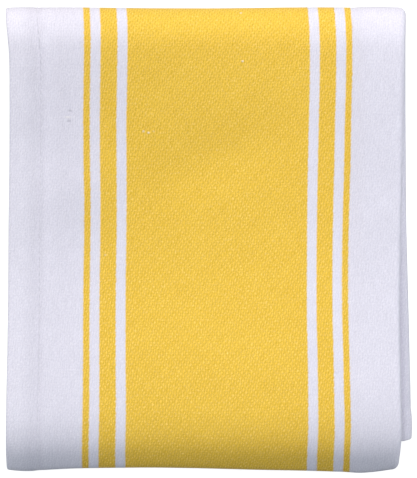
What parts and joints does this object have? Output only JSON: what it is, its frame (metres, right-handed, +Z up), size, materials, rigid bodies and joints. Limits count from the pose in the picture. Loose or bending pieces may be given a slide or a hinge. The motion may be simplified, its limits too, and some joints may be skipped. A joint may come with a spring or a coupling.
{
  "type": "tea towel",
  "caption": "Hemmed woven cotton tea towel with lengthwise stripes, folded into a flat, layered stack with a rounded, drooping front fold, lying face up.",
  "frame": {"origin": "middle of the folded towel's underside, on the surface it rests on", "axes": "+X to the right across the stripes, +Y along the stripes towards the main fold, +Z up through the folded layers"},
  "size_m": [0.1562, 0.1792, 0.0237],
  "materials": {
    "cotton": "matte woven cotton, white with broad and narrow yellow stripes"
  },
  "bodies": {
    "root": {"towel": "cotton"}
  },
  "joints": []
}
